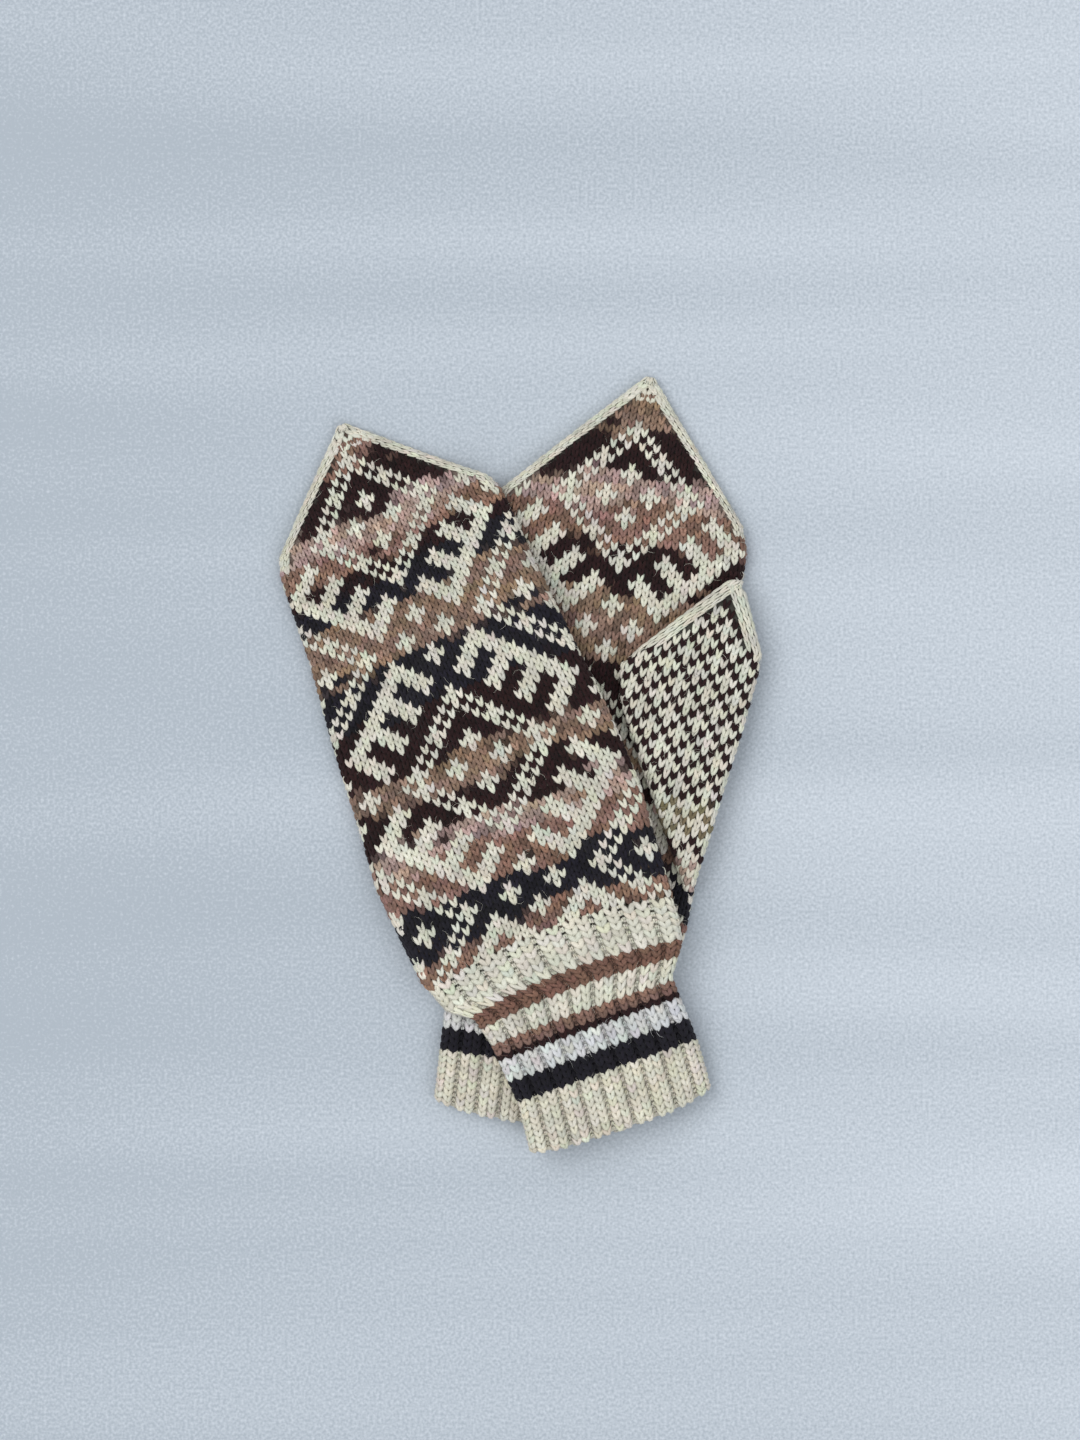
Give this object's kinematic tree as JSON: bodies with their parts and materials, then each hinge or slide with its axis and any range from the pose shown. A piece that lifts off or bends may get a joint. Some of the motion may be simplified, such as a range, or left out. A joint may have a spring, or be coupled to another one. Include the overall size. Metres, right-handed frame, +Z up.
{
  "type": "pair of knitted mittens",
  "caption": "Pair of hand-knitted mittens lying crossed: pointed hands with a diamond pattern, striped ribbed cuffs and pointed side thumbs.",
  "frame": {"origin": "centre of the pair's bounding box, on the table it lies on", "axes": "+Z up, out of the table; +Y towards the mittens' tips; +X to the side that the lower mitten's thumb is on"},
  "size_m": [0.181, 0.2928, 0.0263],
  "materials": {
    "cream_yarn": "knitted wool, matte with fine fuzz",
    "navy_yarn": "knitted wool, matte with fine fuzz",
    "white_yarn": "knitted wool, matte with fine fuzz",
    "taupe_yarn": "knitted wool, matte with fine fuzz",
    "brown_yarn": "knitted wool, matte with fine fuzz",
    "patterned_knit": "knitted wool, matte with fine fuzz",
    "check_knit": "knitted wool, matte with fine fuzz"
  },
  "bodies": {
    "right_mitten": {"right_cast_on": "cream_yarn", "right_welt": "cream_yarn", "right_stripe_navy": "navy_yarn", "right_stripe_white": "white_yarn", "right_stripe_taupe": "taupe_yarn", "right_stripe_cream": "cream_yarn", "right_stripe_brown": "brown_yarn", "right_cuff_top": "cream_yarn", "right_back": "patterned_knit", "right_palm": "patterned_knit", "right_edge_band": "cream_yarn", "right_tip": "cream_yarn", "right_gusset": "check_knit"},
    "right_thumb_end": {"right_thumb": "check_knit"},
    "left_mitten": {"left_cast_on": "cream_yarn", "left_welt": "cream_yarn", "left_stripe_navy": "navy_yarn", "left_stripe_white": "white_yarn", "left_stripe_taupe": "taupe_yarn", "left_stripe_cream": "cream_yarn", "left_stripe_brown": "brown_yarn", "left_cuff_top": "cream_yarn", "left_back": "patterned_knit", "left_palm": "patterned_knit", "left_edge_band": "cream_yarn", "left_tip": "cream_yarn", "left_gusset": "check_knit"},
    "left_thumb_end": {"left_thumb": "check_knit"}
  },
  "joints": [
    {"name": "right_thumb_fold", "type": "hinge", "parent": "right_mitten", "child": "right_thumb_end", "pos_m": [0.06217, 0.0256, 0.0159], "axis": [0.9871, -0.1599, 0], "range_deg": [0, 75]},
    {"name": "left_mitten_lift", "type": "slide", "parent": "right_mitten", "child": "left_mitten", "axis": [0, 0, 1], "range_m": [0, 0.12]},
    {"name": "left_thumb_fold", "type": "hinge", "parent": "left_mitten", "child": "left_thumb_end", "pos_m": [-0.00372, 0.02769, 0.0099], "axis": [-0.9291, -0.3697, 0], "range_deg": [0, 60]}
  ],
  "couplings": [
    {"joint": "left_thumb_fold", "follows": "left_mitten_lift", "rad_per_m": 8.7266}
  ]
}
